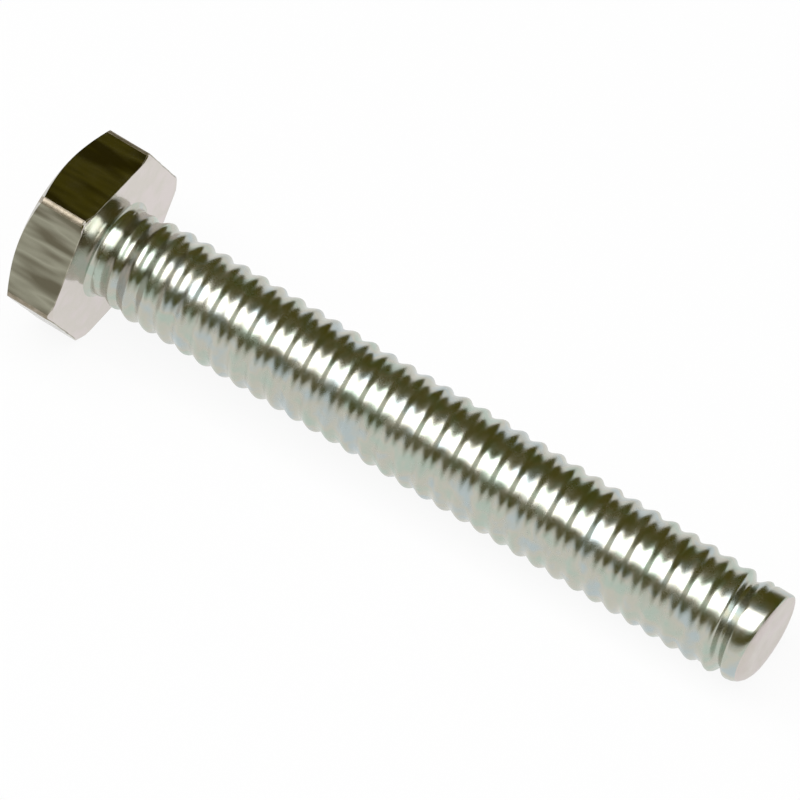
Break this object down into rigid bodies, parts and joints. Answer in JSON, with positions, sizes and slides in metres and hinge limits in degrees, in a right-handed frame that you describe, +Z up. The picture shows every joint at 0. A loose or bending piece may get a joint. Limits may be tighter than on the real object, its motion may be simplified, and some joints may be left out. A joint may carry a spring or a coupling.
{
  "type": "shear bolt",
  "caption": "Zinc-plated steel hex-head bolt, threaded up to its head, with a short plain point; it pins a driven part to its shaft and shears if the drive jams.",
  "frame": {"origin": "on the surface the bolt lies on, under the middle of its box", "axes": "+X from the head towards the tip, level, with the bolt's own axis leaning 3.2 degrees down from it; +Z up, square to the surface; +Y across the bolt, towards one corner of the hexagon"},
  "size_m": [0.0484, 0.0128, 0.0113],
  "materials": {
    "zinc_plated_steel": "bright zinc plate with a faint chromate tint, fine tool marks on the head"
  },
  "bodies": {
    "root": {"bolt": "zinc_plated_steel"}
  },
  "joints": []
}
